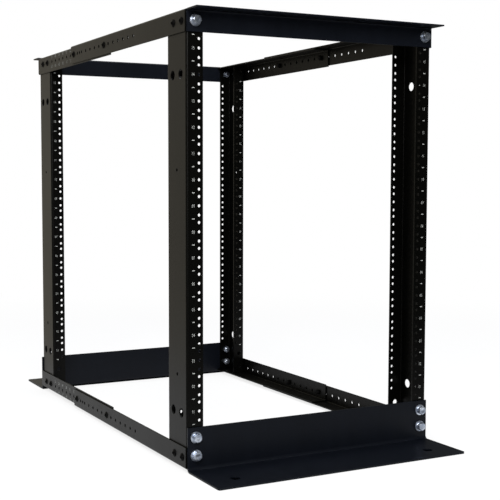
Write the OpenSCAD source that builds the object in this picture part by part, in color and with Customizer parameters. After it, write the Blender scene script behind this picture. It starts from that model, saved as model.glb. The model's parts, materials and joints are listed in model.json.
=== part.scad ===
// Four post open frame rack with adjustable depth.
// Four channel posts stand between two feet and two top angles. Nested side rails,
// bolted together through a row of holes, set the distance from front to rear.
// X is the width, Y the depth with the front at -Y, and Z is up from the floor.

/* [Rack] */
// Height of the mounting space in rack units
rack_units = 15; // [8:1:24]
// Depth over the posts, from the front face to the rear face
rack_depth = 801.5; // [640:0.5:980]
// Width over the webs of the front posts
rack_width = 514; // [504:1:620]
// Clear width between the flange edges of two posts
opening_width = 451; // [440:0.5:454]
// Upper edge of the feet's legs to the lower edge of the first unit
foot_unit_gap = 5; // [0:0.1:30]
// Upper edge of the last unit to the lower edge of the top angles' legs
top_unit_gap = 4.25; // [0:0.05:30]

/* [Posts] */
// Depth of the channel, outside to outside
post_depth = 76.2; // [66:0.1:100]
// Sheet thickness of the posts
post_sheet = 2.5; // [1.5:0.1:3]
// Outside radius of the posts' bends
post_bend = 4; // [3.2:0.1:5]
// Diameter of the equipment mounting holes
rack_hole = 5.5; // [4.5:0.1:7.2]
// Diameter of the cable holes in the web
cable_hole = 17; // [10:0.5:24]
// Distance between the two cable holes of a pair
cable_hole_spacing = 31.75; // [26:0.25:36]
// Height above the first unit's lower edge of the lower pair of cable holes
low_cable_hole = 17.5; // [12:0.5:40]
// Depth below the last unit's upper edge of the upper pair of cable holes
high_cable_hole = 64.75; // [12:0.25:120]
// Diameter of the two small holes in the web
web_hole = 6.6; // [3:0.1:10]
// Height above the first unit's lower edge of the lower small hole
low_web_hole = 83; // [50:0.5:100]
// Depth below the last unit's upper edge of the upper small hole
high_web_hole = 227.75; // [130:0.25:240]

/* [Top angles] */
// Height of the leg that is bolted to the posts
top_leg = 38.1; // [34:0.1:60]
// Reach of the level leg away from the posts
top_reach = 40; // [25:0.5:80]
// Sheet thickness of the top angles
top_sheet = 2.5; // [1.5:0.1:4]
// Outside radius of the top angles' bend
top_bend = 4.5; // [4.1:0.1:8]

/* [Feet] */
// Reach of the level leg away from the posts
foot_reach = 119; // [95:0.5:200]
// Sheet thickness of the feet
foot_sheet = 3; // [2:0.1:5]
// Outside radius of the feet's bend
foot_bend = 9; // [5.5:0.1:12]
// Height of the lower foot bolts above the bend
foot_bolt_rise = 19.9; // [14:0.1:30]
// Distance between the two foot bolts of a post
foot_bolt_spacing = 31.75; // [24:0.25:40]
// Upper foot bolts to the upper edge of the leg
foot_bolt_edge = 17.35; // [12:0.05:30]
// Radius of the feet's outer corners
foot_corner = 6; // [1:0.5:20]
// Diameter of the floor anchor holes
anchor_hole = 18; // [8:0.5:24]
// Distance between the anchor holes of one foot
anchor_spacing = 406.4; // [200:0.1:440]
// Distance of the anchor holes from the posts' face
anchor_reach = 76.2; // [40:0.1:80]

/* [Side rails] */
// Length of a front rail
front_rail_length = 568.3; // [420:0.1:600]
// Length of a rear rail
rear_rail_length = 455.4; // [400:0.1:600]
// Height of the web and width of the flange of a rail
rail_leg = 38.1; // [34:0.1:50]
// Sheet thickness of the rails
rail_sheet = 2.5; // [1.5:0.1:3]
// Outside radius of the rails' bend
rail_bend = 4; // [3.2:0.1:6]
// Clearance between the lower rails and the floor
rail_floor_gap = 5; // [3:0.5:12]
// Distance from hole to hole along a rail
rail_pitch = 25.4; // [20:0.1:40]
// First hole of the front rail behind its front end
first_rail_hole = 222.25; // [120:0.25:260]
// Least distance from a hole to a rail's end
rail_end_margin = 12.7; // [10:0.1:20]
// Distance of the first end screw behind the post's front side
end_screw_first = 14.3; // [13:0.1:20]
// Distance between the two end screws
end_screw_spacing = 31.75; // [20:0.25:40]

/* [Hex bolts] */
// Shank diameter
bolt_d = 9.5; // [6:0.1:10]
// Size of head and nut across the flats
bolt_flats = 14.3; // [12:0.1:15]
// Height of the head
bolt_head = 6.2; // [4:0.1:8]
// Height of the nut
nut_height = 8.2; // [5:0.1:9]
// Diameter of the flat washer
washer_d = 20.6; // [16:0.1:22]
// Thickness of the flat washer
washer_t = 1.65; // [1:0.05:2.5]
// Diameter of the spring washer
spring_washer_d = 15.6; // [11:0.1:16]
// Thickness of the spring washer
spring_washer_t = 2.2; // [1.5:0.1:3]
// Length of bolt that shows past the nut
bolt_tail = 2.5; // [0.5:0.1:4]

/* [Rail screws] */
// Shank diameter
screw_d = 6; // [4:0.1:6]
// Diameter of the head's rim
screw_rim_d = 13.6; // [10:0.1:15]
// Thickness of the head's rim
screw_rim_t = 1; // [0.6:0.1:1.5]
// Diameter of the domed head
screw_dome_d = 10.5; // [8:0.1:11]
// Height of the head over its rim
screw_dome_h = 2.3; // [1.5:0.1:3]
// Size of the socket across the flats
socket_flats = 4; // [3:0.1:5]
// Depth of the socket
socket_depth = 1.8; // [1:0.1:2.5]
// Size of the nut across the flats
screw_nut_flats = 10; // [8:0.1:11]
// Height of the nut
screw_nut_height = 5; // [3:0.1:6]
// Length of screw that shows past the nut
screw_tail = 0.6; // [0.2:0.1:2]

/* [Fits] */
// Gap between bolted faces, as paint leaves it
fit_gap = 0.2; // [0.1:0.05:0.3]
// Oversize of a bolt hole on its bolt's diameter
bolt_clearance = 0.8; // [0.4:0.1:1.5]
// Oversize of a rail hole on its screw's diameter
screw_clearance = 0.6; // [0.3:0.1:1.2]
// Gap between a bolt's nut and the end screws in a post's corner
nut_gap = 0.25; // [0.2:0.05:1]

/* [Hidden] */
$fn = 48;
// Rack standard: unit height, hole heights in a unit and distance across the rack
unit_height = 44.45;
unit_holes = [6.35, 22.225, 38.1];
hole_spacing = 465.1;

// A cut runs this far past the faces it opens
cut_past = 1;

// Side walls and ends of the frame
side_x = -rack_width / 2;
front_y = -rack_depth / 2;
rear_post_y = rack_depth / 2 - post_depth;
foot_bolt_heights = [foot_bend + foot_bolt_rise, foot_bend + foot_bolt_rise + foot_bolt_spacing];
foot_leg = foot_bolt_heights[1] + foot_bolt_edge;
first_unit_z = foot_leg + foot_unit_gap;
units_top = first_unit_z + rack_units * unit_height;
frame_top = units_top + top_unit_gap + top_leg;

// One rail nests inside the other by this much, and the rear posts stand in by it
nest_step = rail_sheet + fit_gap;
rail_side_x = side_x - nest_step;

// The posts end short of the nested rails' bends
post_foot_z = rail_floor_gap + nest_step + rail_bend;
post_top_z = frame_top - nest_step - rail_bend;
post_length = post_top_z - post_foot_z;

// Bolts and screws: the bolts stand just clear of the end screws' nuts
bolt_hole = bolt_d + bolt_clearance;
rail_hole = screw_d + screw_clearance;
screw_room = post_sheet + fit_gap + screw_nut_height + screw_tail;
bolt_x = rack_width / 2 - screw_room - nut_gap - bolt_flats / 2;
top_bolt_z = frame_top - top_leg / 2;
rail_hole_drop = rail_leg / 2;
upper_screw_z = frame_top - rail_hole_drop;
lower_screw_z = rail_floor_gap + rail_hole_drop;

// Rail holes stand on one grid, counted from the front rail's first hole
rear_rail_start = rack_depth - rear_rail_length;
last_front_hole = floor((front_rail_length - rail_end_margin - first_rail_hole) / rail_pitch);
first_rear_hole = max(0, ceil((rear_rail_start + rail_end_margin - first_rail_hole) / rail_pitch));
last_rear_hole = floor((rack_depth - post_depth - rail_end_margin - first_rail_hole) / rail_pitch);
last_lap_hole = min(last_front_hole, last_rear_hole);
// The right lower pair is bolted some holes short of the last one, where the lap allows it
short_lap = 2;
long_enough = last_lap_hole - first_rear_hole > short_lap + 1;
short_lap_hole = long_enough ? last_lap_hole - short_lap : last_lap_hole;

end_screw_places = [end_screw_first, end_screw_first + end_screw_spacing];

steel_black = [0.09, 0.09, 0.095];
screw_black = [0.05, 0.05, 0.055];
zinc = [0.74, 0.76, 0.8];

// ---- Places ----

// Pieces are drawn for the left side and mirrored for the right one
module on_side(side) {
    if (side == "left") children();
    else mirror([1, 0, 0]) children();
}

// Cross pieces are drawn for the front and mirrored for the rear
module on_end(end) {
    if (end == "front") children();
    else mirror([0, 1, 0]) children();
}

// Rails hang from the flange at z = 0, and stand on it at the lower level
module at_level(level) {
    if (level == "upper") translate([0, 0, frame_top]) children();
    else translate([0, 0, rail_floor_gap]) mirror([0, 0, 1]) children();
}

function post_y(end) = end == "front" ? front_y : rear_post_y;
function post_web_x(end) = end == "front" ? side_x : side_x + nest_step;
function rail_hole_y(index) = front_y + first_rail_hole + index * rail_pitch;
function screw_z(level) = level == "upper" ? upper_screw_z : lower_screw_z;

// ---- Bent sheet ----

// What a bend takes off the square corner at the origin
module bend_cut(radius) {
    difference() {
        translate([-cut_past, -cut_past]) square(radius + cut_past);
        translate([radius, radius]) circle(radius);
    }
}

// Angle with its outer corner at the origin
module angle_profile(leg_x, leg_y, sheet, bend) {
    difference() {
        square([leg_x, leg_y]);
        bend_cut(bend);
        translate([sheet, sheet]) difference() {
            square([leg_x, leg_y]);
            bend_cut(bend - sheet);
        }
    }
}

// Rectangle with both corners of its near side bent
module two_bend_profile(width, depth, bend) {
    difference() {
        square([width, depth]);
        bend_cut(bend);
        translate([0, depth]) mirror([0, 1]) bend_cut(bend);
    }
}

// Channel with its web along the Y axis and its flanges towards +X
module channel_profile(flange, depth, sheet, bend) {
    difference() {
        two_bend_profile(flange, depth, bend);
        translate([sheet, sheet]) two_bend_profile(flange, depth - 2 * sheet, bend - sheet);
    }
}

// ---- Holes ----

module hole_along_x(d, from_x, length) {
    translate([from_x - cut_past, 0, 0]) rotate([0, 90, 0]) cylinder(h = length + 2 * cut_past, d = d);
}

module hole_along_y(d, from_y, length) {
    translate([0, from_y - cut_past, 0]) rotate([-90, 0, 0]) cylinder(h = length + 2 * cut_past, d = d);
}

// ---- Posts ----

module rack_holes(end) {
    for (unit = [0 : rack_units - 1], height = unit_holes)
        translate([-hole_spacing / 2, 0, first_unit_z + unit * unit_height + height])
            hole_along_y(rack_hole, post_y(end), post_depth);
}

module flange_bolt_holes(end) {
    for (height = concat(foot_bolt_heights, [top_bolt_z]))
        translate([-bolt_x, 0, height])
            hole_along_y(bolt_hole, post_y(end), post_depth);
}

module web_holes(end) {
    web_x = post_web_x(end);
    middle_y = post_y(end) + post_depth / 2;
    for (height = [first_unit_z + low_cable_hole, units_top - high_cable_hole], way = [-1, 1])
        translate([0, middle_y + way * cable_hole_spacing / 2, height])
            hole_along_x(cable_hole, web_x, post_sheet);
    for (height = [first_unit_z + low_web_hole, units_top - high_web_hole])
        translate([0, middle_y, height]) hole_along_x(web_hole, web_x, post_sheet);
    for (height = [lower_screw_z, upper_screw_z], place = end_screw_places)
        translate([0, post_y(end) + place, height]) hole_along_x(rail_hole, web_x, post_sheet);
}

module post(side, end) {
    flange = -opening_width / 2 - post_web_x(end);
    color(steel_black) on_side(side) difference() {
        translate([post_web_x(end), post_y(end), post_foot_z])
            linear_extrude(post_length) channel_profile(flange, post_depth, post_sheet, post_bend);
        rack_holes(end);
        flange_bolt_holes(end);
        web_holes(end);
    }
}

// ---- Cross pieces ----

module top_angle(end) {
    face_y = front_y - fit_gap;
    color(steel_black) on_end(end) difference() {
        translate([side_x, face_y, frame_top]) rotate([-90, 0, -90])
            linear_extrude(rack_width) angle_profile(top_reach, top_leg, top_sheet, top_bend);
        for (way = [-1, 1])
            translate([way * bolt_x, 0, top_bolt_z])
                hole_along_y(bolt_hole, face_y - top_sheet, top_sheet);
    }
}

// Rounds one outer corner of a foot, with the corner at the origin
module foot_corner_cut() {
    translate([0, 0, -cut_past]) linear_extrude(foot_sheet + 2 * cut_past) bend_cut(foot_corner);
}

module foot(end) {
    face_y = front_y - fit_gap;
    color(steel_black) on_end(end) difference() {
        translate([-side_x, face_y, 0]) rotate([90, 0, -90])
            linear_extrude(rack_width) angle_profile(foot_reach, foot_leg, foot_sheet, foot_bend);
        for (way = [-1, 1], height = foot_bolt_heights)
            translate([way * bolt_x, 0, height])
                hole_along_y(bolt_hole, face_y - foot_sheet, foot_sheet);
        for (way = [-1, 1])
            translate([way * anchor_spacing / 2, face_y - anchor_reach, -cut_past])
                cylinder(h = foot_sheet + 2 * cut_past, d = anchor_hole);
        translate([side_x, face_y - foot_reach, 0]) foot_corner_cut();
        translate([-side_x, face_y - foot_reach, 0]) mirror([1, 0, 0]) foot_corner_cut();
    }
}

// ---- Side rails ----

// Bent rail from its front end, one nesting step further in for a rear rail
module rail_blank(start_y, length, step) {
    translate([rail_side_x + step, start_y, -step]) rotate([-90, 0, 0])
        linear_extrude(length) angle_profile(rail_leg, rail_leg, rail_sheet, rail_bend);
}

module rail_hole_cut(y, step) {
    translate([0, y, -rail_hole_drop]) hole_along_x(rail_hole, rail_side_x + step, rail_sheet);
}

// The extra hole stands half a pitch off the grid
module front_rail(side, level) {
    color(steel_black) on_side(side) at_level(level) difference() {
        rail_blank(front_y, front_rail_length, 0);
        for (index = [0 : last_front_hole]) rail_hole_cut(rail_hole_y(index), 0);
        rail_hole_cut(rail_hole_y(last_front_hole - 1.5), 0);
        for (place = end_screw_places) rail_hole_cut(front_y + place, 0);
    }
}

module rear_rail(side, level) {
    color(steel_black) on_side(side) at_level(level) difference() {
        rail_blank(front_y + rear_rail_start, rear_rail_length, nest_step);
        for (index = [first_rear_hole : last_rear_hole]) rail_hole_cut(rail_hole_y(index), nest_step);
        for (place = end_screw_places) rail_hole_cut(rear_post_y + place, nest_step);
    }
}

// ---- Hex bolts ----

module hexagon_bar(flats, height) {
    rotate(30) cylinder(h = height, d = flats / cos(30), $fn = 6);
}

// Bolt with both washers and its nut: it points down and bears on z = 0
module hex_bolt(grip) {
    nut_z = -grip - 2 * fit_gap - nut_height;
    washer_top = washer_t + spring_washer_t;
    cylinder(h = washer_t, d = washer_d);
    translate([0, 0, washer_t]) cylinder(h = spring_washer_t, d = spring_washer_d);
    translate([0, 0, washer_top]) hexagon_bar(bolt_flats, bolt_head);
    translate([0, 0, nut_z - bolt_tail]) cylinder(h = washer_t + bolt_tail - nut_z, d = bolt_d);
    translate([0, 0, nut_z]) hexagon_bar(bolt_flats, nut_height);
}

// Bolts of a cross piece on one side, through its leg and the post's flange
module cross_bolts(side, end, heights, sheet) {
    color(zinc) on_side(side) on_end(end) for (height = heights)
        translate([-bolt_x, front_y - 2 * fit_gap - sheet, height]) rotate([90, 0, 0])
            hex_bolt(sheet + fit_gap + post_sheet);
}

module top_bolts(end) {
    cross_bolts("left", end, [top_bolt_z], top_sheet);
    cross_bolts("right", end, [top_bolt_z], top_sheet);
}

module foot_bolts(side, end) {
    cross_bolts(side, end, foot_bolt_heights, foot_sheet);
}

// ---- Rail screws ----

module screw_head() {
    dome_r = (pow(screw_dome_d / 2, 2) + pow(screw_dome_h, 2)) / (2 * screw_dome_h);
    head_top = screw_rim_t + screw_dome_h;
    difference() {
        union() {
            cylinder(h = screw_rim_t, d = screw_rim_d);
            intersection() {
                translate([0, 0, head_top - dome_r]) sphere(dome_r);
                cylinder(h = head_top + cut_past, d = screw_rim_d);
            }
        }
        translate([0, 0, head_top - socket_depth]) hexagon_bar(socket_flats, socket_depth + cut_past);
    }
}

// Domed screw with its nut: it points down and bears on z = 0
module rail_screw(grip) {
    nut_z = -grip - 2 * fit_gap - screw_nut_height;
    screw_head();
    translate([0, 0, nut_z - screw_tail])
        cylinder(h = screw_rim_t / 2 + screw_tail - nut_z, d = screw_d);
    translate([0, 0, nut_z]) hexagon_bar(screw_nut_flats, screw_nut_height);
}

// Screw driven in from outside, its head against a face at bearing_x
module side_screw(bearing_x, y, z, grip) {
    translate([bearing_x - fit_gap, y, z]) rotate([0, -90, 0]) rail_screw(grip);
}

// Screws that join a front rail to its rear rail
module lap_screws(side, level, rear_index) {
    color(screw_black) on_side(side) for (index = [first_rear_hole, rear_index])
        side_screw(rail_side_x, rail_hole_y(index), screw_z(level), 2 * rail_sheet + fit_gap);
}

// Screws that join a rail's end to a post
module end_screws(side, end, level) {
    bearing_x = end == "front" ? rail_side_x : rail_side_x + nest_step;
    color(screw_black) on_side(side) for (place = end_screw_places)
        side_screw(bearing_x, post_y(end) + place, screw_z(level), nest_step + post_sheet);
}

post("left", "front");  // front_left_post
post("right", "front");  // front_right_post
post("left", "rear");  // rear_left_post
post("right", "rear");  // rear_right_post
top_angle("front");  // front_top_angle
top_angle("rear");  // rear_top_angle
foot("front");  // front_foot
foot("rear");  // rear_foot
front_rail("left", "upper");  // left_upper_front_rail
rear_rail("left", "upper");  // left_upper_rear_rail
front_rail("left", "lower");  // left_lower_front_rail
rear_rail("left", "lower");  // left_lower_rear_rail
front_rail("right", "upper");  // right_upper_front_rail
rear_rail("right", "upper");  // right_upper_rear_rail
front_rail("right", "lower");  // right_lower_front_rail
rear_rail("right", "lower");  // right_lower_rear_rail
top_bolts("front");  // front_top_bolts
top_bolts("rear");  // rear_top_bolts
foot_bolts("left", "front");  // front_left_foot_bolts
foot_bolts("right", "front");  // front_right_foot_bolts
foot_bolts("left", "rear");  // rear_left_foot_bolts
foot_bolts("right", "rear");  // rear_right_foot_bolts
lap_screws("left", "upper", last_lap_hole);  // left_upper_lap_screws
lap_screws("left", "lower", last_lap_hole);  // left_lower_lap_screws
lap_screws("right", "upper", last_lap_hole);  // right_upper_lap_screws
lap_screws("right", "lower", short_lap_hole);  // right_lower_lap_screws
end_screws("left", "front", "upper");  // front_left_upper_screws
end_screws("left", "front", "lower");  // front_left_lower_screws
end_screws("right", "front", "upper");  // front_right_upper_screws
end_screws("right", "front", "lower");  // front_right_lower_screws
end_screws("left", "rear", "upper");  // rear_left_upper_screws
end_screws("left", "rear", "lower");  // rear_left_lower_screws
end_screws("right", "rear", "upper");  // rear_right_upper_screws
end_screws("right", "rear", "lower");  // rear_right_lower_screws
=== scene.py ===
"""Four post open frame rack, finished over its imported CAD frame.

The bent steel keeps its CAD shape and gets its powder coat. Hex bolts and rail screws
are made in full detail in place of their plain CAD nodes, and the unit numbers and the
depth scale are printed on the steel.
"""

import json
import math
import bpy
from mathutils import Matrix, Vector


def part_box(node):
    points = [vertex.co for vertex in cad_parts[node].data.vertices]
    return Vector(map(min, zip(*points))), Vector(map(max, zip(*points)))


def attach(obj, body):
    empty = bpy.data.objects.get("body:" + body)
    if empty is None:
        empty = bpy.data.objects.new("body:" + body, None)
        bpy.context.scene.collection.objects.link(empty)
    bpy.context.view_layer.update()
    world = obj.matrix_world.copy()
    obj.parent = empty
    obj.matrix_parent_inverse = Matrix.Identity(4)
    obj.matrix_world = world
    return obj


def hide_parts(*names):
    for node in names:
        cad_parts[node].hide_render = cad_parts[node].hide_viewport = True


bl_info = {
    "name": "Four Post Open Frame Rack",
    "version": (1, 0, 0),
    "blender": (4, 5, 0),
    "location": "View3D > Sidebar > Rack",
    "description": "Powder coat, zinc bolts, black screws and printed marks for an open frame rack",
    "category": "Object",
}

import bmesh
import bpy
from bpy.props import (
    FloatProperty,
    FloatVectorProperty,
    IntProperty,
    PointerProperty,
)
from mathutils import Matrix, Vector

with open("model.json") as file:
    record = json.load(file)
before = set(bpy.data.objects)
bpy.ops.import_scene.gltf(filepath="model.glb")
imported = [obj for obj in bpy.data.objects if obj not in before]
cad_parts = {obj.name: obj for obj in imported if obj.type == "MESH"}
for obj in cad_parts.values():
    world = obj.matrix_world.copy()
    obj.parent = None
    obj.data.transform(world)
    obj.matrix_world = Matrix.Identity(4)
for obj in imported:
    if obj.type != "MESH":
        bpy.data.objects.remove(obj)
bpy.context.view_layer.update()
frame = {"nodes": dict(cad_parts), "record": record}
BODY = "root"
MM = 0.001

UNITS = 15
POSTS = ("front_left_post", "front_right_post", "rear_left_post", "rear_right_post")
CROSS_PIECES = ("front_top_angle", "rear_top_angle", "front_foot", "rear_foot")
SIDES = ("left", "right")
LEVELS = ("upper", "lower")
ENDS = ("front", "rear")
RAILS = tuple(f"{s}_{v}_{e}_rail" for s in SIDES for v in LEVELS for e in ENDS)
TOP_BOLTS = tuple(f"{e}_top_bolts" for e in ENDS)
FOOT_BOLTS = tuple(f"{e}_{s}_foot_bolts" for e in ENDS for s in SIDES)
LAP_SCREWS = tuple(f"{s}_{v}_lap_screws" for s in SIDES for v in LEVELS)
END_SCREWS = tuple(f"{e}_{s}_{v}_screws" for e in ENDS for s in SIDES for v in LEVELS)


def rack_standard():
    """Height of the first unit's middle hole and height of a unit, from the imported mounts."""
    mounts = {m["name"]: m for m in frame["record"]["mounts"]}
    low = mounts["front_unit_01_holes"]["pos_m"][2]
    high = mounts["front_unit_15_holes"]["pos_m"][2]
    return low, (high - low) / (UNITS - 1)


UNIT_ONE_Z, UNIT_HEIGHT = rack_standard()


# ---- Sizes and colours ----


def length(name, description, default, **limits):
    """A setting that is a length in metres."""
    return FloatProperty(
        name=name,
        description=description,
        subtype="DISTANCE",
        unit="LENGTH",
        default=default,
        **limits,
    )


def share(name, description, default):
    """A setting between 0 and 1."""
    return FloatProperty(
        name=name,
        description=description,
        subtype="FACTOR",
        min=0,
        max=1,
        default=default,
    )


def whole(name, description, default, **limits):
    """A setting that is a whole number."""
    return IntProperty(name=name, description=description, default=default, **limits)


def paint(name, description, default):
    """A setting that is a colour."""
    return FloatVectorProperty(
        name=name,
        description=description,
        subtype="COLOR",
        size=3,
        min=0,
        max=1,
        default=default,
    )


class RackCoat(bpy.types.PropertyGroup):
    """Powder coat on the bent steel."""

    post_color: paint(
        "Post Color",
        "Base colour of the coat on the posts and side rails",
        (0.0007, 0.0007, 0.0005),
    )
    # The feet and top angles take a lighter, bluish copy of the posts' coat: painted cool light from above
    # and the front on the same finish.
    cross_color_with_painted_light: paint(
        "Cross Piece Painted Light Color",
        "Base colour of the coat on the feet and top angles",
        (0.0030, 0.0039, 0.0063),
    )
    roughness: share("Roughness", "Mean roughness of the satin coat", 0.36)
    gloss: share("Gloss", "Specular level of the coat, 0.5 for a full lacquer", 0.103)
    peel_size: length("Peel Size", "Width of the coat's orange peel dimples", 0.0016, min=0.0002)
    peel_depth: length("Peel Depth", "Depth of the coat's orange peel dimples", 0.00001, min=0)
    edge_radius: length(
        "Edge Radius",
        "Radius that the coat gives the sheet's cut edges and holes",
        0.0004,
        min=0,
    )


class RackBolts(bpy.types.PropertyGroup):
    """Zinc hex bolts with their washers and nuts."""

    shank_d: length("Shank Diameter", "Diameter over the thread", 9.5 * MM)
    flats: length("Across Flats", "Size of head and nut across the flats", 14.3 * MM)
    head: length("Head Height", "Height of the hexagon head", 6.2 * MM)
    nut: length("Nut Height", "Height of the nut", 8.2 * MM)
    tail: length("Tail", "Length of thread past the nut", 2.5 * MM)
    washer_d: length("Washer Diameter", "Diameter of the flat washer", 20.6 * MM)
    washer_t: length("Washer Thickness", "Thickness of the flat washer", 1.65 * MM)
    spring_d: length("Spring Washer Diameter", "Outer diameter of the split spring washer", 15.6 * MM)
    spring_t: length("Spring Washer Thickness", "Thickness of the split spring washer", 2.2 * MM)
    pitch: length("Thread Pitch", "Distance from thread to thread", 1.25 * MM)
    seed: whole("Seed", "Seed for how far each bolt is turned", 3, min=0)
    light: paint("Light Zinc", "Colour of the plating's bright patches", (0.58, 0.63, 0.72))
    dark: paint("Dark Zinc", "Colour of the plating's dull patches", (0.28, 0.32, 0.40))


class RackScrews(bpy.types.PropertyGroup):
    """Black domed socket screws of the side rails."""

    shank_d: length("Shank Diameter", "Diameter over the thread", 6 * MM)
    rim_d: length("Rim Diameter", "Diameter of the head's flange", 13.6 * MM)
    rim_t: length("Rim Thickness", "Thickness of the head's flange", 1 * MM)
    dome_d: length("Dome Diameter", "Diameter of the domed head", 10.5 * MM)
    dome_h: length("Dome Height", "Height of the dome over its flange", 2.3 * MM)
    socket: length("Socket", "Size of the hexagon socket across the flats", 4 * MM)
    socket_depth: length("Socket Depth", "Depth of the hexagon socket", 1.8 * MM)
    nut_flats: length("Nut Across Flats", "Size of the nut across the flats", 10 * MM)
    nut: length("Nut Height", "Height of the nut", 5 * MM)
    tail: length("Tail", "Length of thread past the nut", 0.6 * MM)
    pitch: length("Thread Pitch", "Distance from thread to thread", 1 * MM)
    seed: whole("Seed", "Seed for how far each screw is turned", 11, min=0)
    light: paint("Light Oxide", "Colour of the oxide's lighter patches", (0.0035, 0.0035, 0.0035))
    dark: paint("Dark Oxide", "Colour of the oxide's darker patches", (0.001, 0.001, 0.001))


class RackMarks(bpy.types.PropertyGroup):
    """Printed unit numbers, unit lines and depth scale."""

    column: length("Column", "Distance of the unit numbers from the rack's middle", 243.9 * MM)
    digit_height: length("Digit Height", "Height of a printed digit", 5.6 * MM)
    digit_width: length("Digit Width", "Distance from digit to digit", 3.0 * MM)
    dash_length: length("Dash Length", "Length of the line between two units", 4.6 * MM)
    dash_width: length("Dash Width", "Width of the line between two units", 1.5 * MM)
    scale_height: length("Scale Digit Height", "Height of a digit of the depth scale", 6.4 * MM)
    scale_width: length("Scale Digit Width", "Distance from digit to digit on the depth scale", 4.6 * MM)
    scale_row: length(
        "Scale Row",
        "Distance of the depth numbers from the middle of the rail's holes",
        11 * MM,
    )
    scale_start: whole("Scale Start", "Depth number at the rear rail's front hole", 40, min=0, max=99)
    hole_pitch: length("Hole Pitch", "Distance from hole to hole along a rail", 25.4 * MM)
    hole_count: whole("Hole Count", "Holes along a rear rail", 14, min=1)
    lift: length("Ink Thickness", "Height of the ink over the coat", 0.06 * MM)
    ink: paint("Ink", "Colour of the printing", (0.27, 0.28, 0.27))


class RackStage(bpy.types.PropertyGroup):
    """Floor, studio light and camera."""

    floor_radius: length("Floor Radius", "Radius of the round floor", 9)
    floor_color: paint("Floor Color", "Colour of the floor", (0.82, 0.82, 0.82))
    wall_color: paint(
        "Backdrop Light",
        "What the coat mirrors of the backdrop at the rear left",
        (0.79, 0.73, 0.60),
    )
    room_color: paint(
        "Room Light",
        "What the coat mirrors of the room elsewhere",
        (0.08, 0.08, 0.07),
    )
    lens: FloatProperty(
        name="Lens",
        description="Focal length for a 36 mm sensor",
        unit="CAMERA",
        default=75.18,
    )


# ---- Node trees ----


class Tree:
    """A node tree while it is built."""

    def __init__(self, tree):
        self.tree = tree

    def add(self, kind, inputs=None, **settings):
        """A node with its settings, and with each input set or linked."""
        node = self.tree.nodes.new(kind)
        for name, value in settings.items():
            setattr(node, name, value)
        for key, value in (inputs or {}).items():
            self.feed(node, key, value)
        return node

    def feed(self, node, key, value):
        target = open_socket(node.inputs, key)
        if isinstance(value, bpy.types.Node):
            value = open_socket(value.outputs, 0)
        if isinstance(value, bpy.types.NodeSocket):
            self.tree.links.new(value, target)
        else:
            target.default_value = value

    def math(self, operation, *values, kind="ShaderNodeMath"):
        node = self.tree.nodes.new(kind)
        node.operation = operation
        for i, value in enumerate(values):
            self.feed(node, i, value)
        return node

    def noise(self, place, scale, detail):
        return self.add("ShaderNodeTexNoise", {"Vector": place, "Scale": scale, "Detail": detail})

    def blend(self, factor, first, second):
        """The first colour at factor 0 and the second at factor 1."""
        parts = {"Factor": factor, "A": first, "B": second}
        return self.add("ShaderNodeMix", parts, data_type="RGBA")

    def point(self, **parts):
        return self.add("ShaderNodeCombineXYZ", {axis.upper(): value for axis, value in parts.items()})

    def turn(self, angles):
        return self.add("FunctionNodeEulerToRotation", {0: angles})

    def row(self, count, step, start=(0.0, 0.0, 0.0)):
        """Points in a straight row from start, a step apart."""
        parts = {"Count": count, "Start Location": start, "Offset": step}
        return self.add("GeometryNodeMeshLine", parts, mode="OFFSET")

    def arrange(self):
        """Lays the nodes out in columns, each to the right of what feeds it."""
        column = {}

        def depth(node):
            if node not in column:
                column[node] = 0
                fed = [link.from_node for s in node.inputs for link in s.links]
                column[node] = 1 + max(map(depth, fed), default=-1)
            return column[node]

        filled = {}
        for node in self.tree.nodes:
            row = filled.get(depth(node), 0)
            filled[depth(node)] = row + 1
            node.location = (220 * depth(node), -260 * row)


def open_socket(sockets, key):
    """The enabled socket with that name, or at that place among the enabled ones."""
    usable = [s for s in sockets if s.enabled]
    if isinstance(key, int):
        return usable[key]
    for s in usable:
        if s.name == key:
            return s
    raise KeyError(f"no socket {key!r} among {[s.name for s in usable]}")


def new_group(name, kind, inputs, outputs):
    """An empty node group with named sockets, its input node and its output node."""
    group = bpy.data.node_groups.new(name, kind)
    for way, rows in (("INPUT", inputs), ("OUTPUT", outputs)):
        for title, socket, *default in rows:
            item = group.interface.new_socket(name=title, in_out=way, socket_type=socket)
            if default:
                item.default_value = default[0]
    tree = Tree(group)
    return tree, tree.add("NodeGroupInput"), tree.add("NodeGroupOutput")


NUMBER, COUNT, VECTOR, COLOR = (
    "NodeSocketFloat",
    "NodeSocketInt",
    "NodeSocketVector",
    "NodeSocketColor",
)
SHAPE, THING, FINISH = "NodeSocketGeometry", "NodeSocketObject", "NodeSocketMaterial"
WHOLE = "FunctionNodeIntegerMath"
WHITE = (1, 1, 1, 1)


# ---- Finishes ----


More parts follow.
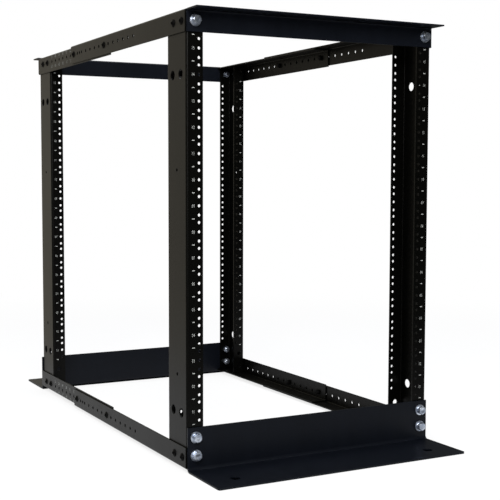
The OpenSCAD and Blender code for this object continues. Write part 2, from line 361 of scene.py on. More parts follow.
def coat_surface():
    """Shader group for powder coat: orange peel, faint rolling streaks and soft edges."""
    tree, given, result = new_group(
        "Coat Surface",
        "ShaderNodeTree",
        [
            ("Color", COLOR, (0.01, 0.01, 0.01, 1)),
            ("Color Spread", NUMBER, 0.15),
            ("Roughness", NUMBER, 0.4),
            ("Roughness Spread", NUMBER, 0.05),
            ("Peel Size", NUMBER, 0.0016),
            ("Peel Depth", NUMBER, 0.00001),
            ("Edge Radius", NUMBER, 0.0004),
        ],
        [("Color", COLOR), ("Roughness", NUMBER), ("Normal", VECTOR)],
    )
    g = given.outputs
    place = tree.add("ShaderNodeTexCoord").outputs["Object"]
    clouds = tree.noise(place, 14.0, 4.0)
    long_way = tree.add("ShaderNodeMapping", {"Vector": place, "Scale": (55.0, 55.0, 1.2)})
    streaks = tree.noise(long_way, 1.0, 2.0)
    fineness = tree.math("DIVIDE", 1.0, g["Peel Size"])
    peel = tree.noise(place, fineness, 1.0)
    grit = tree.noise(place, tree.math("MULTIPLY", fineness, 3.1), 1.0)
    mixed = tree.math("ADD", tree.math("MULTIPLY", clouds, 0.5), tree.math("MULTIPLY", streaks, 0.5))
    swing = tree.math("SUBTRACT", tree.math("MULTIPLY", mixed, 2.0), 1.0)
    tint = tree.math("MULTIPLY_ADD", swing, g["Color Spread"], 1.0)
    color = tree.add("ShaderNodeVectorMath", {0: g["Color"]}, operation="SCALE")
    tree.feed(color, "Scale", tint)
    tree.feed(result, "Color", color)
    uneven = tree.math("SUBTRACT", tree.math("ADD", mixed, grit), 1.0)
    tree.feed(result, "Roughness", tree.math("MULTIPLY_ADD", uneven, g["Roughness Spread"], g["Roughness"]))
    edges = tree.add("ShaderNodeBevel", {"Radius": g["Edge Radius"]}, samples=4)
    bump = tree.add(
        "ShaderNodeBump",
        {"Strength": 1.0, "Distance": g["Peel Depth"], "Height": peel, "Normal": edges},
    )
    tree.feed(result, "Normal", bump)
    tree.arrange()
    return tree.tree


def metal_surface():
    """Shader group for plated or oxidised metal: soft patches and fine grain."""
    tree, given, result = new_group(
        "Metal Surface",
        "ShaderNodeTree",
        [
            ("Light", COLOR, (0.5, 0.5, 0.5, 1)),
            ("Dark", COLOR, (0.3, 0.3, 0.3, 1)),
            ("Patch Size", NUMBER, 0.004),
            ("Roughness", NUMBER, 0.3),
            ("Roughness Spread", NUMBER, 0.1),
            ("Grain Depth", NUMBER, 0.00001),
        ],
        [("Color", COLOR), ("Roughness", NUMBER), ("Normal", VECTOR)],
    )
    g = given.outputs
    place = tree.add("ShaderNodeTexCoord").outputs["Object"]
    fineness = tree.math("DIVIDE", 1.0, g["Patch Size"])
    patches = tree.noise(place, fineness, 3.0)
    spread = tree.add(
        "ShaderNodeMapRange",
        {"Value": patches, "From Min": 0.35, "From Max": 0.65},
        interpolation_type="SMOOTHSTEP",
    )
    tree.feed(result, "Color", tree.blend(spread, g["Dark"], g["Light"]))
    grain = tree.noise(place, tree.math("MULTIPLY", fineness, 9.0), 2.0)
    uneven = tree.math("SUBTRACT", grain, 0.5)
    tree.feed(result, "Roughness", tree.math("MULTIPLY_ADD", uneven, g["Roughness Spread"], g["Roughness"]))
    bump = tree.add("ShaderNodeBump", {"Strength": 1.0, "Distance": g["Grain Depth"], "Height": grain})
    tree.feed(result, "Normal", bump)
    tree.arrange()
    return tree.tree


def surfaced_material(name, surface, values, **shader_values):
    """A material whose colour, roughness and normal come from a surface group."""
    material = bpy.data.materials.new(name)
    material.use_nodes = True
    nodes = material.node_tree.nodes
    shader = nodes["Principled BSDF"]
    tree = Tree(material.node_tree)
    group = tree.add("ShaderNodeGroup", node_tree=bpy.data.node_groups[surface])
    for title, value in values.items():
        group.inputs[title].default_value = value
    tree.feed(shader, "Base Color", group.outputs["Color"])
    tree.feed(shader, "Roughness", group.outputs["Roughness"])
    tree.feed(shader, "Normal", group.outputs["Normal"])
    for title, value in shader_values.items():
        shader.inputs[title.replace("_", " ")].default_value = value
    tree.arrange()
    return material


def opaque(color):
    """A colour with its alpha."""
    return (*color, 1.0)


def coat_material(name, color, coat):
    """Powder coat of a colour."""
    return surfaced_material(
        name,
        "Coat Surface",
        {
            "Color": opaque(color),
            "Color Spread": 0.35,
            "Roughness": coat.roughness,
            "Roughness Spread": 0.10,
            "Peel Size": coat.peel_size,
            "Peel Depth": coat.peel_depth,
            "Edge Radius": coat.edge_radius,
        },
        Specular_IOR_Level=coat.gloss,
    )


# ---- Shapes ----


def turned(bm, rows, sides=48):
    """Closed shape turned round Z from rows of (height, radius), each a number or a rule of the angle."""
    rings = []
    for height, radius in rows:
        if radius == 0:
            rings.append([bm.verts.new((0, 0, height))])
            continue
        ring = []
        for i in range(sides):
            a = 2 * math.pi * i / sides
            r = radius(a) if callable(radius) else radius
            z = height(a) if callable(height) else height
            ring.append(bm.verts.new((r * math.cos(a), r * math.sin(a), z)))
        rings.append(ring)
    for low, high in zip(rings, rings[1:]):
        for i in range(sides):
            j = (i + 1) % sides
            corners = [low[i % len(low)], low[j % len(low)], high[j % len(high)], high[i % len(high)]]
            face = list(dict.fromkeys(corners))
            if len(face) > 2:
                bm.faces.new(face)


def hexagon(flats):
    """Radius of a hexagon as a function of the angle."""

    def radius(angle):
        return flats / 2 / math.cos((angle + math.pi / 6) % (math.pi / 3) - math.pi / 6)

    return radius


def chamfer_line(flats, height, slope, bite):
    """Height at which a cone with that slope leaves a hexagon bar, from the bar's end."""
    corner = hexagon(flats)

    def at(angle):
        return height - max(0.0, corner(angle) - (flats / 2 - bite)) * slope

    return at


def hexagon_head(bm, flats, low, high, dish):
    """Bolt head: hexagon bar with its outer end turned to a cone, and a shallow dish in it."""
    corner = hexagon(flats)
    crest = flats / 2 - 0.35 * MM
    top = chamfer_line(flats, high - low, 0.45, 0.35 * MM)
    soft = 0.18 * MM
    rows = [
        (low, 0),
        (low, flats / 2 - 0.5 * MM),
        (low + 0.12 * MM, lambda a: corner(a) - 0.14 * MM),
        (low + 0.35 * MM, corner),
        (lambda a: low + top(a) - soft, corner),
        (lambda a: low + top(a) - soft * 0.25, lambda a: corner(a) - soft * 0.35),
        (lambda a: low + top(a) + soft * 0.2, lambda a: corner(a) - soft),
        (high - 0.03 * MM, crest - 0.12 * MM),
        (high, crest - 0.45 * MM),
        (high, 0.55 * crest),
        (high - dish * 0.5, 0.42 * crest),
        (high - dish, 0.22 * crest),
        (high - dish, 0),
    ]
    turned(bm, rows, 72)


def hexagon_nut(bm, flats, low, high, bore):
    """Nut with both ends turned to a cone and a countersunk bore at its outer end, which is low."""
    corner = hexagon(flats)
    crest = flats / 2 - 0.2 * MM
    top = chamfer_line(flats, high - low, 0.5, 0.2 * MM)
    rows = [
        (low + 0.7 * MM, 0),
        (low + 0.7 * MM, bore - 0.4 * MM),
        (low, bore + 0.3 * MM),
        (low, crest - 0.3 * MM),
        (lambda a: high - top(a), lambda a: corner(a) - 0.12 * MM),
        (lambda a: high - top(a) + 0.16 * MM, corner),
        (lambda a: low + top(a) - 0.16 * MM, corner),
        (lambda a: low + top(a), lambda a: corner(a) - 0.12 * MM),
        (high, crest - 0.3 * MM),
        (high, 0),
    ]
    turned(bm, rows, 48)


def thread(bm, radius, low, high, pitch, sides=32):
    """Threaded rod from low to high with a chamfered tip at its low end."""
    depth = 0.6 * pitch
    step = pitch / 6
    count = max(2, int(round((high - low) / step)))
    rows = [(low, 0), (low, radius - depth - 0.15 * MM)]

    def ridge(z):
        def r(angle):
            phase = ((z - low) / pitch - angle / (2 * math.pi)) % 1.0
            wave = 1 - abs(2 * phase - 1)
            start = min(1.0, (z - low) / (0.8 * pitch))
            return radius - depth + depth * min(1.0, wave * 1.25) * start

        return r

    for k in range(1, count + 1):
        z = low + (high - low) * k / count
        rows.append((z, ridge(z)))
    rows.append((high, 0))
    turned(bm, rows, sides)


def flat_washer(bm, radius, bore, low, high):
    """Stamped washer with a rounded upper rim."""
    soft = 0.25 * MM
    rows = [
        (low, 0),
        (low, radius - 0.1 * MM),
        (low + 0.1 * MM, radius),
        (high - soft, radius),
        (high - soft * 0.3, radius - soft * 0.3),
        (high, radius - soft),
        (high, bore),
        (low + 0.1 * MM, bore),
        (low + 0.1 * MM, 0),
    ]
    turned(bm, rows, 64)


def spring_washer(bm, radius, bore, low, high, gap=0.16):
    """Split ring whose two ends part a little."""
    soft = 0.2 * MM
    section = [
        (bore, low),
        (radius - soft, low),
        (radius, low + soft),
        (radius, high - soft),
        (radius - soft, high),
        (bore + soft, high),
        (bore, high - soft),
    ]
    count = 56
    slices = []
    for k in range(count + 1):
        a = gap / 2 + (2 * math.pi - gap) * k / count
        ring = []
        for r, z in section:
            lean = 0.10 * (z - low) / (high - low)
            ring.append(bm.verts.new((r * math.cos(a + lean), r * math.sin(a + lean), z)))
        slices.append(ring)
    n = len(section)
    for near, far in zip(slices, slices[1:]):
        for i in range(n):
            j = (i + 1) % n
            bm.faces.new((near[i], near[j], far[j], far[i]))
    bm.faces.new(slices[0][::-1])
    bm.faces.new(slices[-1])


def finished_mesh(bm, name, sharp=32):
    """Mesh from bm with outward faces, smooth but for its sharp edges."""
    bmesh.ops.remove_doubles(bm, verts=bm.verts, dist=1e-7)
    bmesh.ops.recalc_face_normals(bm, faces=bm.faces)
    mesh = bpy.data.meshes.new(name)
    bm.to_mesh(mesh)
    bm.free()
    mesh.polygons.foreach_set("use_smooth", [True] * len(mesh.polygons))
    mesh.set_sharp_from_angle(angle=math.radians(sharp))
    return mesh


def hex_bolt_mesh(span, bolts):
    """Bolt with washers and nut: the head points along +Z and its washer bears on z = 0."""
    bm = bmesh.new()
    washer_top = bolts.washer_t
    spring_top = washer_top + bolts.spring_t
    head_top = spring_top + bolts.head
    end = head_top - span
    nut_low = end + bolts.tail
    radius = bolts.shank_d / 2
    flat_washer(bm, bolts.washer_d / 2, radius + 0.4 * MM, 0, washer_top)
    spring_washer(bm, bolts.spring_d / 2, radius + 0.15 * MM, washer_top, spring_top)
    hexagon_head(bm, bolts.flats, spring_top, head_top, dish=0.35 * MM)
    thread(bm, radius, end, spring_top + 0.5 * MM, bolts.pitch)
    hexagon_nut(bm, bolts.flats, nut_low, nut_low + bolts.nut, radius)
    return finished_mesh(bm, "hex_bolt")


def dome_height(screws, radius):
    """Height of a rail screw's dome over its bearing face, at that radius."""
    dome, rise = screws.dome_d / 2, screws.dome_h
    ball = (dome * dome + rise * rise) / (2 * rise)
    return screws.rim_t + rise - ball + math.sqrt(ball * ball - radius * radius)


def screw_reach(screws):
    """How far a rail screw's head stands over its bearing face, at the edge of its socket."""
    return dome_height(screws, screws.socket / 2)


def rail_screw_mesh(span, screws):
    """Domed socket screw with its nut: the head points along +Z and bears on z = 0."""
    bm = bmesh.new()
    rim, dome = screws.rim_d / 2, screws.dome_d / 2
    top = screws.rim_t + screws.dome_h
    mouth = screws.socket / 2 / math.cos(math.pi / 6) + 0.25 * MM
    soft = 0.18 * MM
    rows = [
        (0, 0),
        (0, rim - 0.15 * MM),
        (0.12 * MM, rim),
        (screws.rim_t - 2 * soft, rim),
        (screws.rim_t - 0.7 * soft, rim - 0.5 * soft),
        (screws.rim_t, rim - 1.8 * soft),
        (screws.rim_t, dome + 0.3 * MM),
        (screws.rim_t + 0.15 * MM, dome + 0.02 * MM),
    ]
    rings = [dome * (1 - k / 6) + mouth * k / 6 for k in range(7)]
    rows += [(dome_height(screws, r) + (0.1 * MM if k == 0 else 0), r) for k, r in enumerate(rings)]
    wall = hexagon(screws.socket)
    floor = top - screws.socket_depth
    rows += [
        (dome_height(screws, mouth) - 0.22 * MM, wall),
        (floor, wall),
        (floor - 0.3 * MM, 0.3 * wall(0)),
        (floor - 0.35 * MM, 0),
    ]
    turned(bm, rows, 48)
    end = screw_reach(screws) - span
    nut_low = end + screws.tail
    thread(bm, screws.shank_d / 2, end, 0.5 * MM, screws.pitch, sides=24)
    hexagon_nut(bm, screws.nut_flats, nut_low, nut_low + screws.nut, screws.shank_d / 2)
    return finished_mesh(bm, "rail_screw")


# ---- Rules for what repeats ----


def fastener_rule():
    """Geometry Nodes: one fastener at each place of a straight row, each turned its own way."""
    tree, given, result = new_group(
        "Fastener Row",
        "GeometryNodeTree",
        [
            ("Fastener", THING),
            ("Count", COUNT, 2),
            ("First Place", VECTOR),
            ("Step", VECTOR),
            ("Facing", VECTOR),
            ("Seed", COUNT, 0),
            ("Finish", FINISH),
        ],
        [("Geometry", SHAPE)],
    )
    g = given.outputs
    places = tree.row(g["Count"], g["Step"], g["First Place"])
    turn = tree.add("FunctionNodeRandomValue", data_type="FLOAT")
    tree.feed(turn, "Min", 0.0)
    tree.feed(turn, "Max", 2 * math.pi)
    tree.feed(turn, "Seed", g["Seed"])
    rotation = tree.add(
        "FunctionNodeRotateRotation",
        {"Rotation": tree.turn(g["Facing"]), "Rotate By": tree.turn(tree.point(z=turn))},
        rotation_space="LOCAL",
    )
    thing = tree.add("GeometryNodeObjectInfo", {"Object": g["Fastener"], "As Instance": True})
    copies = tree.add(
        "GeometryNodeInstanceOnPoints",
        {"Points": places, "Instance": thing.outputs["Geometry"], "Rotation": rotation},
    )
    finish(tree, copies, g["Finish"], result)
    return tree.tree


def finish(tree, shape, material, result):
    """Ends a rule: real geometry with its finish."""
    real = tree.add("GeometryNodeRealizeInstances", {"Geometry": shape})
    coated = tree.add("GeometryNodeSetMaterial", {"Geometry": real, "Material": material})
    tree.feed(result, "Geometry", coated)
    tree.arrange()


# Height of the font's digits and distance between them, at size 1.
DIGIT_RISE, DIGIT_STEP = 0.729, 0.636


def number_rule():
    """Geometry Nodes group: a two-digit number centred on each point, upright or turned over."""
    tree, given, result = new_group(
        "Two Digits",
        "GeometryNodeTree",
        [
            ("Points", SHAPE),
            ("Number", COUNT, 0),
            ("Digit Height", NUMBER, 0.006),
            ("Digit Width", NUMBER, 0.004),
            ("Turn", NUMBER, 0.0),
        ],
        [("Geometry", SHAPE)],
    )
    g = given.outputs
    font = tree.add("GeometryNodeStringToCurves", {"String": "0123456789", "Size": 1.0})
    filled = tree.add("GeometryNodeFillCurve", {"Curve": font.outputs["Curve Instances"]})
    home = tree.add("FunctionNodeCombineTransform")
    digits = tree.add("GeometryNodeSetInstanceTransform", {"Instances": filled, "Transform": home})
    wide = tree.math("DIVIDE", g["Digit Width"], DIGIT_STEP)
    tall = tree.math("DIVIDE", g["Digit Height"], DIGIT_RISE)
    size = tree.point(x=wide, y=tall, z=1.0)
    turn = tree.turn(tree.point(z=g["Turn"]))
    way = tree.math("COSINE", g["Turn"])
    down = tree.math("MULTIPLY", tree.math("MULTIPLY", g["Digit Height"], -0.5), way)
    ten = tree.math("DIVIDE_FLOOR", g["Number"], 10, kind=WHOLE)
    one = tree.math("MODULO", g["Number"], 10, kind=WHOLE)
    halves = []
    for digit, shift in ((ten, -1.0), (one, 0.0)):
        aside = tree.math("MULTIPLY", tree.math("MULTIPLY", g["Digit Width"], shift), way)
        offset = tree.point(x=aside, y=down)
        moved = tree.add("GeometryNodeSetPosition", {"Geometry": g["Points"], "Offset": offset})
        halves.append(
            tree.add(
                "GeometryNodeInstanceOnPoints",
                {
                    "Points": moved,
                    "Instance": digits,
                    "Pick Instance": True,
                    "Instance Index": digit,
                    "Rotation": turn,
                    "Scale": size,
                },
            )
        )
    both = tree.add("GeometryNodeJoinGeometry")
    for half in halves:
        tree.feed(both, "Geometry", half)
    tree.feed(result, "Geometry", both)
    tree.arrange()
    return tree.tree


def two_digits(tree, points, number, given, turn):
    """Adds the number group to a rule."""
    group = tree.add("GeometryNodeGroup", node_tree=bpy.data.node_groups["Two Digits"])
    for key, value in (
        ("Points", points),
        ("Number", number),
        ("Digit Height", given["Digit Height"]),
        ("Digit Width", given["Digit Width"]),
        ("Turn", turn),
    ):
        tree.feed(group, key, value)
    return group


def laid_on_steel(tree, shape, given):
    """Turns flat marks to the face they are printed on and moves them there."""
    facing = tree.turn(given["Facing"])
    return tree.add(
        "GeometryNodeTransform",
        {"Geometry": shape, "Translation": given["Place"], "Rotation": facing},
    )


def unit_mark_rule():
    """Geometry Nodes: unit numbers up a post, with a dash between units."""
    tree, given, result = new_group(
        "Unit Marks",
        "GeometryNodeTree",
        [
            ("Units", COUNT, UNITS),
            ("Unit Height", NUMBER, 0.04445),
            ("Digit Height", NUMBER, 0.006),
            ("Digit Width", NUMBER, 0.004),
            ("Dash Length", NUMBER, 0.006),
            ("Dash Width", NUMBER, 0.002),
            ("Facing", VECTOR),
            ("Place", VECTOR),
            ("Finish", FINISH),
        ],
        [("Geometry", SHAPE)],
    )
    g = given.outputs
    step = tree.point(y=g["Unit Height"])
    middles = tree.row(g["Units"], step)
    unit = tree.math("ADD", tree.add("GeometryNodeInputIndex"), 1, kind=WHOLE)
    numbers = two_digits(tree, middles, unit, g, 0.0)
    half_down = tree.point(y=tree.math("MULTIPLY", g["Unit Height"], -0.5))
    line_count = tree.math("ADD", g["Units"], 1, kind=WHOLE)
    lines = tree.row(line_count, step, half_down)
    dash = tree.add(
        "GeometryNodeMeshGrid",
        {"Size X": g["Dash Length"], "Size Y": g["Dash Width"], "Vertices X": 2, "Vertices Y": 2},
    )
    dashes = tree.add("GeometryNodeInstanceOnPoints", {"Points": lines, "Instance": dash})
    both = tree.add("GeometryNodeJoinGeometry")
    tree.feed(both, "Geometry", numbers)
    tree.feed(both, "Geometry", dashes)
    finish(tree, laid_on_steel(tree, both, g), g["Finish"], result)
    return tree.tree


def depth_scale_rule():
    """Geometry Nodes: a depth number above each rail hole, and the same turned over below it."""
    tree, given, result = new_group(
        "Depth Scale",
        "GeometryNodeTree",
        [
            ("Holes", COUNT, 14),
            ("Pitch", NUMBER, 0.0254),
            ("Row", NUMBER, 0.011),
            ("First Number", COUNT, 40),
            ("Number Step", COUNT, -1),
            ("Digit Height", NUMBER, 0.006),
            ("Digit Width", NUMBER, 0.004),
            ("Facing", VECTOR),
            ("Place", VECTOR),
            ("Finish", FINISH),
        ],
        [("Geometry", SHAPE)],
    )
    g = given.outputs
    step = tree.point(x=g["Pitch"])
    number = tree.math(
        "MULTIPLY_ADD",
        tree.add("GeometryNodeInputIndex"),
        g["Number Step"],
        g["First Number"],
        kind=WHOLE,
    )
    both = tree.add("GeometryNodeJoinGeometry")
    for way, turn in ((1.0, 0.0), (-1.0, math.pi)):
        start = tree.point(y=tree.math("MULTIPLY", g["Row"], way))
        points = tree.row(g["Holes"], step, start)
        tree.feed(both, "Geometry", two_digits(tree, points, number, g, turn))
    finish(tree, laid_on_steel(tree, both, g), g["Finish"], result)
    return tree.tree


def grown(name, rule, **values):
    """A plain mesh object that a rule makes with these values."""
    source = bpy.data.objects.new(name, bpy.data.meshes.new(name))
    bpy.context.scene.collection.objects.link(source)
    modifier = source.modifiers.new("Rule", "NODES")
    modifier.node_group = bpy.data.node_groups[rule]
    for item in modifier.node_group.interface.items_tree:
        if item.item_type == "SOCKET" and item.in_out == "INPUT":
            modifier[item.identifier] = values[item.name.replace(" ", "_").lower()]
    graph = bpy.context.evaluated_depsgraph_get()
    mesh = bpy.data.meshes.new_from_object(
        source.evaluated_get(graph), preserve_all_data_layers=True, depsgraph=graph
    )
    source.modifiers.remove(modifier)
    source.data = mesh
    mesh.name = name
    if not mesh.polygons:
        raise RuntimeError(f"rule {rule} made nothing for {name}")
    return source


# ---- Operators ----


def node_of(name):
    """The frame's object of that name."""
    if name not in frame["nodes"]:
        raise RuntimeError(f"the frame has no node {name}")
    return frame["nodes"][name]


def clear_groups(*names):
    """Removes node groups that an earlier run of an operator left."""
    for name in names:
        old = bpy.data.node_groups.get(name)
        if old:
            bpy.data.node_groups.remove(old)


class RACK_OT_steel(bpy.types.Operator):
    """Gives the posts, cross pieces and side rails their powder coat"""

    bl_idname = "rack.steel"
    bl_label = "Powder Coat Steel"

    def execute(self, context):
        coat = context.scene.rack_coat
        clear_groups("Coat Surface")
        coat_surface()
        post_coat = coat_material("black_coat", coat.post_color, coat)
        # The cross pieces' copy of the coat is lighter and bluish: painted cool light from above and the
        # front.
        cross_painted_light_coat = coat_material("blue_black_coat", coat.cross_color_with_painted_light, coat)
        for name in POSTS + RAILS + CROSS_PIECES:
            node = node_of(name)
            for slot in node.material_slots:
                slot.material = cross_painted_light_coat if name in CROSS_PIECES else post_coat
        return {"FINISHED"}


# Turns that point a fastener's +Z outwards, by axis number and way along it.
FACINGS = {
    (0, -1): (0.0, -math.pi / 2, 0.0),
    (0, 1): (0.0, math.pi / 2, 0.0),
    (1, -1): (math.pi / 2, 0.0, 0.0),
    (1, 1): (-math.pi / 2, 0.0, 0.0),
}


def make_fasteners(names, axis_of, radius, reach, prototype, seed, material, suffix):
    """One detailed piece in place of each CAD node of two fasteners."""
    prototypes = {}
    for k, name in enumerate(names):
        node_of(name)
        axis, sign = axis_of(name)
        low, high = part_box(name)
        span = round(high[axis] - low[axis], 6)
        if span not in prototypes:
            prototypes[span] = bpy.data.objects.new("fastener", prototype(span))
        row = max((i for i in range(3) if i != axis), key=lambda i: high[i] - low[i])
        first = (low + high) / 2
        last = first.copy()
        first[row], last[row] = low[row] + radius, high[row] - radius
        first[axis] = last[axis] = (high[axis] if sign > 0 else low[axis]) - sign * reach
        piece = grown(
            f"{name}_{suffix}",
            "Fastener Row",
            fastener=prototypes[span],
            count=2,
            first_place=first,
            step=last - first,
            facing=FACINGS[axis, sign],
            seed=seed + k,
            finish=material,
        )
        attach(piece, BODY)
        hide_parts(name)
    for thing in prototypes.values():
        bpy.data.objects.remove(thing)


class RACK_OT_hex_bolts(bpy.types.Operator):
    """Makes the zinc hex bolts of the feet and top angles, with washers and nuts"""

    bl_idname = "rack.hex_bolts"
    bl_label = "Hex Bolts"

    def execute(self, context):
        bolts = context.scene.rack_bolts
        clear_groups("Metal Surface", "Fastener Row")
        metal_surface()
        fastener_rule()
        zinc = surfaced_material(
            "bright_zinc",
            "Metal Surface",
            {
                "Light": opaque(bolts.light),
                "Dark": opaque(bolts.dark),
                "Patch Size": 0.009,
                "Roughness": 0.3,
                "Roughness Spread": 0.2,
                "Grain Depth": 0.00002,
            },
            Metallic=0.92,
        )
        make_fasteners(
            TOP_BOLTS + FOOT_BOLTS,
            lambda name: (1, -1 if name.startswith("front") else 1),
            radius=bolts.washer_d / 2,
            reach=bolts.washer_t + bolts.spring_t + bolts.head,
            prototype=lambda span: hex_bolt_mesh(span, bolts),
            seed=bolts.seed,
            material=zinc,
            suffix="zinc",
        )
        return {"FINISHED"}


class RACK_OT_rail_screws(bpy.types.Operator):
    """Makes the black domed screws of the side rails, with their nuts"""

    bl_idname = "rack.rail_screws"
    bl_label = "Rail Screws"

    def execute(self, context):
        screws = context.scene.rack_screws
        oxide = surfaced_material(
            "black_oxide",
            "Metal Surface",
            {
                "Light": opaque(screws.light),
                "Dark": opaque(screws.dark),
                "Patch Size": 0.003,
                "Roughness": 0.3,
                "Roughness Spread": 0.2,
                "Grain Depth": 0.00001,
            },
            Specular_IOR_Level=0.025,
        )
        make_fasteners(
            LAP_SCREWS + END_SCREWS,
            lambda name: (0, -1 if "left" in name else 1),
            radius=screws.rim_d / 2,
            reach=screw_reach(screws),
            prototype=lambda span: rail_screw_mesh(span, screws),
            seed=screws.seed,
            material=oxide,
            suffix="black",
        )
        return {"FINISHED"}


def ink_material(marks, coat):
    """The ink that both kinds of marks share."""
    old = bpy.data.materials.get("grey_ink")
    if old:
        return old
    return surfaced_material(
        "grey_ink",
        "Coat Surface",
        {
            "Color": opaque(marks.ink),
            "Color Spread": 0.5,
            "Roughness": 0.6,
            "Roughness Spread": 0.1,
            "Peel Size": coat.peel_size,
            "Peel Depth": coat.peel_depth,
            "Edge Radius": 0.0,
        },
        Specular_IOR_Level=0.3,
    )


class RACK_OT_unit_marks(bpy.types.Operator):
    """Prints the unit numbers and unit lines on the front face of each post"""

    bl_idname = "rack.unit_marks"
    bl_label = "Unit Marks"

    def execute(self, context):
        marks = context.scene.rack_marks
        clear_groups("Two Digits", "Unit Marks")
        number_rule()
        unit_mark_rule()
        ink = ink_material(marks, context.scene.rack_coat)
        for name in POSTS:
            low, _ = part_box(name)
            side = -1 if "left" in name else 1
            piece = grown(
                f"{name}_numbers",
                "Unit Marks",
                units=UNITS,
                unit_height=UNIT_HEIGHT,
                digit_height=marks.digit_height,
                digit_width=marks.digit_width,
                dash_length=marks.dash_length,
                dash_width=marks.dash_width,
                facing=(math.pi / 2, 0.0, 0.0),
                place=(side * marks.column, low.y - marks.lift, UNIT_ONE_Z),
                finish=ink,
            )
            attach(piece, BODY)
        return {"FINISHED"}


class RACK_OT_depth_scale(bpy.types.Operator):
    """Prints the depth scale along the outer face of each rear rail"""

    bl_idname = "rack.depth_scale"
    bl_label = "Depth Scale"

    def execute(self, context):
        marks = context.scene.rack_marks
        clear_groups("Depth Scale")
        depth_scale_rule()
        ink = ink_material(marks, context.scene.rack_coat)
        for side in SIDES:
            for level in LEVELS:
                rail = f"{side}_{level}_rear_rail"
                low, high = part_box(rail)
                screw_low, screw_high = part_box(f"{side}_{level}_lap_screws")
                radius = context.scene.rack_screws.rim_d / 2
                first_y = screw_low.y + radius
                middle_z = (screw_low.z + screw_high.z) / 2
                reach = (marks.hole_count - 1) * marks.hole_pitch
                if side == "left":
                    place = (low.x - marks.lift, first_y + reach, middle_z)
                    facing = (math.pi / 2, 0.0, -math.pi / 2)
                    start, step = marks.scale_start - marks.hole_count + 1, 1
                else:
                    place = (high.x + marks.lift, first_y, middle_z)
                    facing = (math.pi / 2, 0.0, math.pi / 2)
                    start, step = marks.scale_start, -1
                piece = grown(
                    f"{rail}_scale",
                    "Depth Scale",
                    holes=marks.hole_count,
                    pitch=marks.hole_pitch,
                    row=marks.scale_row,
                    first_number=start,
                    number_step=step,
                    digit_height=marks.scale_height,
                    digit_width=marks.scale_width,
                    facing=facing,
                    place=place,
                    finish=ink,
                )
                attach(piece, BODY)
        return {"FINISHED"}


def seen_background(tree):
    """Masks of the rays that see the background: direct ones, then direct and mirrored ones."""
    path = tree.add("ShaderNodeLightPath")
    seen = tree.math("MAXIMUM", path.outputs["Is Camera Ray"], path.outputs["Is Transmission Ray"])
    return seen, tree.math("MAXIMUM", seen, path.outputs["Is Glossy Ray"])


def between(tree, value, low, high):
    """1 where a value lies between two bounds, else 0."""
    return tree.math(
        "MULTIPLY",
        tree.math("GREATER_THAN", value, low),
        tree.math("LESS_THAN", value, high),
    )


def shade_under_feet(tree, place):
    """1 on the floor under the feet, where the floor is painted dark as shade and shows only through their
    anchor holes, else 0.
    """
    low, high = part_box("front_foot")
    inset = 1.5 * MM
    split = tree.add("ShaderNodeSeparateXYZ", {0: place})
    across = between(tree, split.outputs["X"], low.x + inset, high.x - inset)
    from_middle = tree.math("ABSOLUTE", split.outputs["Y"])
    along = between(tree, from_middle, -high.y + inset, -low.y - inset)
    return tree.math("MULTIPLY", across, along)


def ramp(tree, value, start, end, low, high):
    """A soft change from low to high while the value goes from start to end."""
    return tree.add(
        "ShaderNodeMapRange",
        {"Value": value, "From Min": start, "From Max": end, "To Min": low, "To Max": high},
        interpolation_type="SMOOTHSTEP",
    )


def mirrored_room(tree, split, stage):
    """What the coat mirrors: a pale backdrop at the rear left, and a dim room elsewhere.

    split holds the X, Y and Z of a direction, or of a place in metres.
    """
    behind = ramp(tree, split.outputs["Y"], -0.35, 0.55, 0.0, 1.0)
    leftward = ramp(tree, split.outputs["X"], 0.1, 0.5, 1.0, 0.0)
    lit = tree.math("MULTIPLY", behind, leftward)
    return tree.blend(lit, opaque(stage.room_color), opaque(stage.wall_color))


# How far the floor lies under the feet, and how much of its look near the rack is plain white.
FLOOR_GAP = 0.5 * MM
FLOOR_GLOW = 0.8


def floor_material(stage):
    """Pale floor that looks white, takes the rack's shadow and is painted dark under the feet as shade."""
    material = bpy.data.materials.new("pale_floor")
    material.use_nodes = True
    tree = Tree(material.node_tree)
    material.node_tree.nodes.clear()
    place = tree.add("ShaderNodeTexCoord").outputs["Object"]
    # The floor's colour and glow drop to black under the feet: painted shade that shows through the anchor
    # holes.
    floor_outside_painted_shade = tree.math("SUBTRACT", 1.0, shade_under_feet(tree, place))
    away = tree.add("ShaderNodeVectorMath", {0: place}, operation="LENGTH").outputs["Value"]
    mottle = tree.noise(place, 3.0, 3.0)
    tone = tree.add("ShaderNodeMapRange", {"Value": mottle, "To Min": 0.985, "To Max": 1.0})
    color = tree.add("ShaderNodeVectorMath", {0: stage.floor_color}, operation="SCALE")
    tree.feed(color, "Scale", tree.math("MULTIPLY", tone, floor_outside_painted_shade))
    seen, shown = seen_background(tree)
    far = ramp(tree, away, 0.6, 1.0, 0.0, 1.0)
    room = mirrored_room(tree, tree.add("ShaderNodeSeparateXYZ", {0: place}), stage)
    mirrored = tree.blend(far, WHITE, room)
    view = tree.blend(seen, mirrored, WHITE)
    matt = tree.add("ShaderNodeBsdfDiffuse", {"Color": color})
    white = tree.add("ShaderNodeEmission", {"Color": view, "Strength": floor_outside_painted_shade})
    glow = tree.math("MULTIPLY", shown, ramp(tree, away, 0.9, 2.4, FLOOR_GLOW, 1.0))
    mix = tree.add("ShaderNodeMixShader", {"Fac": glow})
    tree.feed(mix, 1, matt)
    tree.feed(mix, 2, white)
    out = tree.add("ShaderNodeOutputMaterial")
    tree.feed(out, "Surface", mix)
    tree.arrange()
    return material


FILL_COLOR, FILL_STRENGTH = (0.75, 0.78, 0.85), 0.35


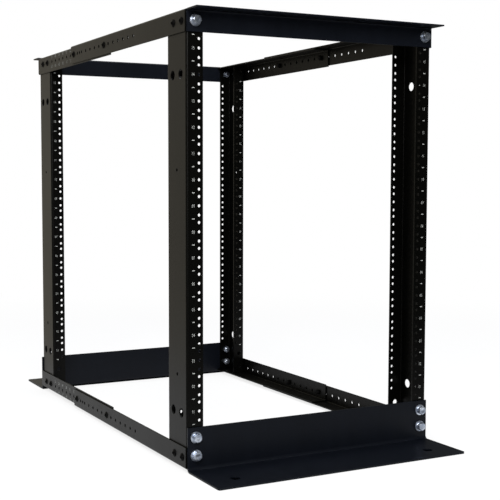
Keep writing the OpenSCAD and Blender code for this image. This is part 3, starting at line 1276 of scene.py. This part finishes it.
def studio_world(stage):
    """White to the camera; the coat mirrors a pale backdrop at the rear left and a dim room in front."""
    world = bpy.data.worlds.new("studio")
    world.use_nodes = True
    tree = Tree(world.node_tree)
    world.node_tree.nodes.clear()
    way = tree.add("ShaderNodeTexCoord").outputs["Generated"]
    split = tree.add("ShaderNodeSeparateXYZ", {0: way})
    mirrored = mirrored_room(tree, split, stage)
    seen, shown = seen_background(tree)
    view = tree.blend(seen, mirrored, WHITE)
    fill = tree.add("ShaderNodeBackground", {"Color": opaque(FILL_COLOR), "Strength": FILL_STRENGTH})
    backdrop = tree.add("ShaderNodeBackground", {"Color": view, "Strength": 1.0})
    mix = tree.add("ShaderNodeMixShader", {"Fac": shown})
    tree.feed(mix, 1, fill)
    tree.feed(mix, 2, backdrop)
    out = tree.add("ShaderNodeOutputWorld")
    tree.feed(out, "Surface", mix)
    tree.arrange()
    return world


def soft_lamp(name, place, target, size, power, color):
    """Square area lamp aimed at a point."""
    data = bpy.data.lights.new(name, "AREA")
    data.size, data.energy, data.color = size, power, color
    lamp = bpy.data.objects.new(name, data)
    aim = Vector(target) - Vector(place)
    turn = aim.to_track_quat("-Z", "Y").to_matrix().to_4x4()
    lamp.matrix_world = Matrix.Translation(place) @ turn
    bpy.context.scene.collection.objects.link(lamp)


# Each lamp's name, place, aim, size in metres, power in watts and colour.
LAMPS = (
    ("key", (-1.5, -3.2, 2.4), (0, 0, 0.4), 2.2, 200, (1.0, 0.98, 0.95)),
    ("top", (0.0, 0.3, 3.2), (0, 0, 0.2), 2.6, 90, (0.93, 0.96, 1.0)),
)
CAMERA_PLACE = (-1.027534, -1.999556, 0.508926)
CAMERA_HEADING, CAMERA_DIP, CAMERA_ROLL = -26.5475, 4.1640, -0.0576
CAMERA_SHIFT = (0.097245, 0.007280)
SENSOR_WIDTH = 36


def stage_camera(scene, lens):
    """The camera, turned by its heading, its dip below level and its roll."""
    camera = bpy.data.objects.new("camera", bpy.data.cameras.new("camera"))
    camera.data.sensor_width = SENSOR_WIDTH
    camera.data.lens = lens
    camera.data.shift_x, camera.data.shift_y = CAMERA_SHIFT
    turn = (
        Matrix.Rotation(math.radians(CAMERA_HEADING), 4, "Z")
        @ Matrix.Rotation(math.radians(90 - CAMERA_DIP), 4, "X")
        @ Matrix.Rotation(math.radians(CAMERA_ROLL), 4, "Z")
    )
    camera.matrix_world = Matrix.Translation(CAMERA_PLACE) @ turn
    scene.collection.objects.link(camera)
    scene.camera = camera


class RACK_OT_stage(bpy.types.Operator):
    """Sets the floor, the studio light and the camera"""

    bl_idname = "rack.stage"
    bl_label = "Stage"

    def execute(self, context):
        scene, stage = context.scene, context.scene.rack_stage
        bm = bmesh.new()
        bmesh.ops.create_circle(bm, cap_ends=True, segments=96, radius=stage.floor_radius)
        mesh = bpy.data.meshes.new("floor")
        bm.to_mesh(mesh)
        bm.free()
        floor = bpy.data.objects.new("floor", mesh)
        mesh.materials.append(floor_material(stage))
        scene.collection.objects.link(floor)
        mesh.transform(Matrix.Translation((0, 0, -FLOOR_GAP)))
        scene.world = studio_world(stage)
        for lamp in LAMPS:
            soft_lamp(*lamp)
        stage_camera(scene, stage.lens)
        scene.view_settings.view_transform = "Standard"
        return {"FINISHED"}


class RACK_PT_panel(bpy.types.Panel):
    """Lists the rack's steps and sizes"""

    bl_idname = "RACK_PT_panel"
    bl_label = "Open Frame Rack"
    bl_space_type = "VIEW_3D"
    bl_region_type = "UI"
    bl_category = "Rack"

    def draw(self, context):
        layout = self.layout
        for operator, group in STEPS:
            box = layout.box()
            box.operator(operator.bl_idname)
            settings = getattr(context.scene, group)
            for prop in settings.bl_rna.properties:
                if prop.identifier not in ("rna_type", "name"):
                    box.prop(settings, prop.identifier)


GROUPS = {
    "rack_coat": RackCoat,
    "rack_bolts": RackBolts,
    "rack_screws": RackScrews,
    "rack_marks": RackMarks,
    "rack_stage": RackStage,
}
STEPS = (
    (RACK_OT_steel, "rack_coat"),
    (RACK_OT_hex_bolts, "rack_bolts"),
    (RACK_OT_rail_screws, "rack_screws"),
    (RACK_OT_unit_marks, "rack_marks"),
    (RACK_OT_depth_scale, "rack_marks"),
    (RACK_OT_stage, "rack_stage"),
)
CLASSES = tuple(GROUPS.values()) + tuple(step for step, _ in STEPS) + (RACK_PT_panel,)


def register():
    for cls in CLASSES:
        bpy.utils.register_class(cls)
    for name, group in GROUPS.items():
        setattr(bpy.types.Scene, name, PointerProperty(type=group))


def unregister():
    for name in GROUPS:
        delattr(bpy.types.Scene, name)
    for cls in reversed(CLASSES):
        bpy.utils.unregister_class(cls)


def main():
    register()
    for step, _ in STEPS:
        domain, action = step.bl_idname.split(".")
        getattr(getattr(bpy.ops, domain), action)()


if __name__ == "__main__":
    main()
